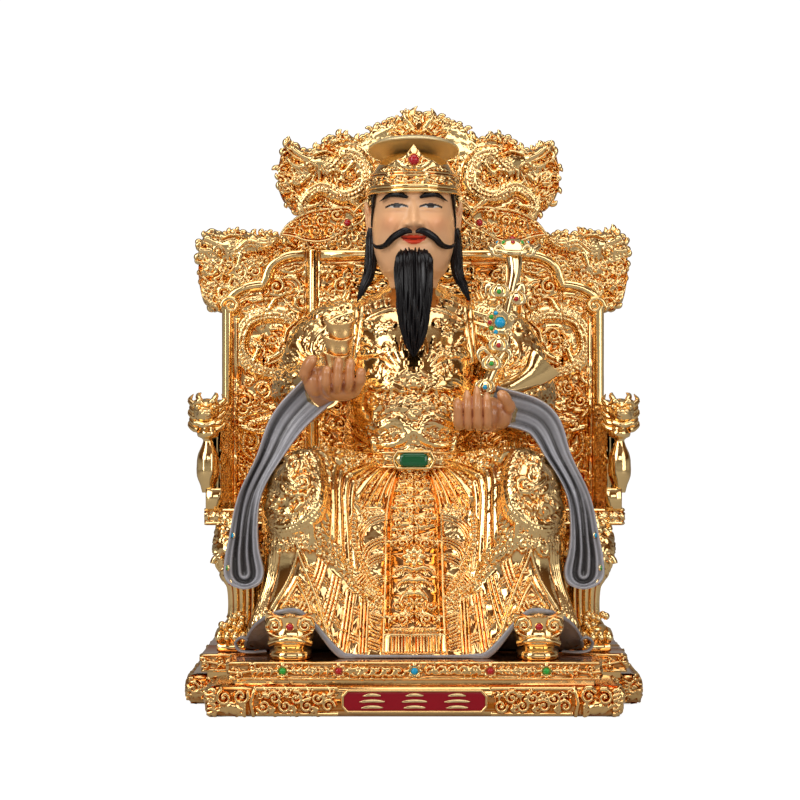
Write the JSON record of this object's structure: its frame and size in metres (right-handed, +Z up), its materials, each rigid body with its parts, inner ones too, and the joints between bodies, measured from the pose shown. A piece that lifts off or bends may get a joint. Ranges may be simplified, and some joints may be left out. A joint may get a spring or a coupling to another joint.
{
  "type": "caishen figure",
  "caption": "Gilt cast statue of a bearded god of wealth in court robes, seated on a dragon throne with a stepped plinth.",
  "frame": {"origin": "middle of the plinth's footprint, on the surface that it stands on", "axes": "+Z up, the figure faces -Y, +X to the viewer's right"},
  "size_m": [0.39, 0.3, 0.5156],
  "materials": {
    "gold_plating": "mirror-bright gold plating",
    "painted_skin": "satin flesh paint",
    "black_lacquer": "gloss black paint",
    "grey_lining": "pearl grey paint",
    "red_panel": "gloss red paint",
    "ruby_glass": "polished red glass",
    "emerald_glass": "polished green glass",
    "turquoise_glass": "polished blue glass",
    "jade_glass": "polished green stone"
  },
  "bodies": {
    "root": {"belt_stone": "jade_glass", "boot_stone_left": "ruby_glass", "boot_stone_right": "ruby_glass", "figure": "gold_plating", "hat_stone": "ruby_glass", "hat_wing_left": "gold_plating", "hat_wing_right": "gold_plating", "hat_wing_stone_left": "ruby_glass", "hat_wing_stone_right": "ruby_glass", "ingot_stack": "gold_plating", "plinth": "gold_plating", "plinth_stone_1": "emerald_glass", "plinth_stone_2": "ruby_glass", "plinth_stone_3": "turquoise_glass", "plinth_stone_4": "ruby_glass", "plinth_stone_5": "emerald_glass", "sceptre": "gold_plating", "sceptre_flower_middle": "turquoise_glass", "sceptre_flower_stone_1": "turquoise_glass", "sceptre_flower_stone_2": "emerald_glass", "sceptre_flower_stone_3": "ruby_glass", "sceptre_flower_stone_4": "emerald_glass", "sceptre_flower_stone_5": "turquoise_glass", "sceptre_head_stone_1": "turquoise_glass", "sceptre_head_stone_2": "emerald_glass", "sceptre_head_stone_3": "ruby_glass", "sceptre_head_stone_4": "emerald_glass", "sceptre_head_stone_5": "turquoise_glass", "sceptre_head_stone_6": "ruby_glass", "sceptre_mount_stone_1": "turquoise_glass", "sceptre_mount_stone_2": "emerald_glass", "sceptre_mount_stone_3": "ruby_glass", "sceptre_mount_stone_4": "emerald_glass", "sceptre_mount_stone_5": "ruby_glass", "sleeve_stone_left_1": "turquoise_glass", "sleeve_stone_left_2": "emerald_glass", "sleeve_stone_left_3": "ruby_glass", "sleeve_stone_right_1": "turquoise_glass", "sleeve_stone_right_2": "emerald_glass", "sleeve_stone_right_3": "ruby_glass", "throne": "gold_plating"}
  },
  "joints": []
}
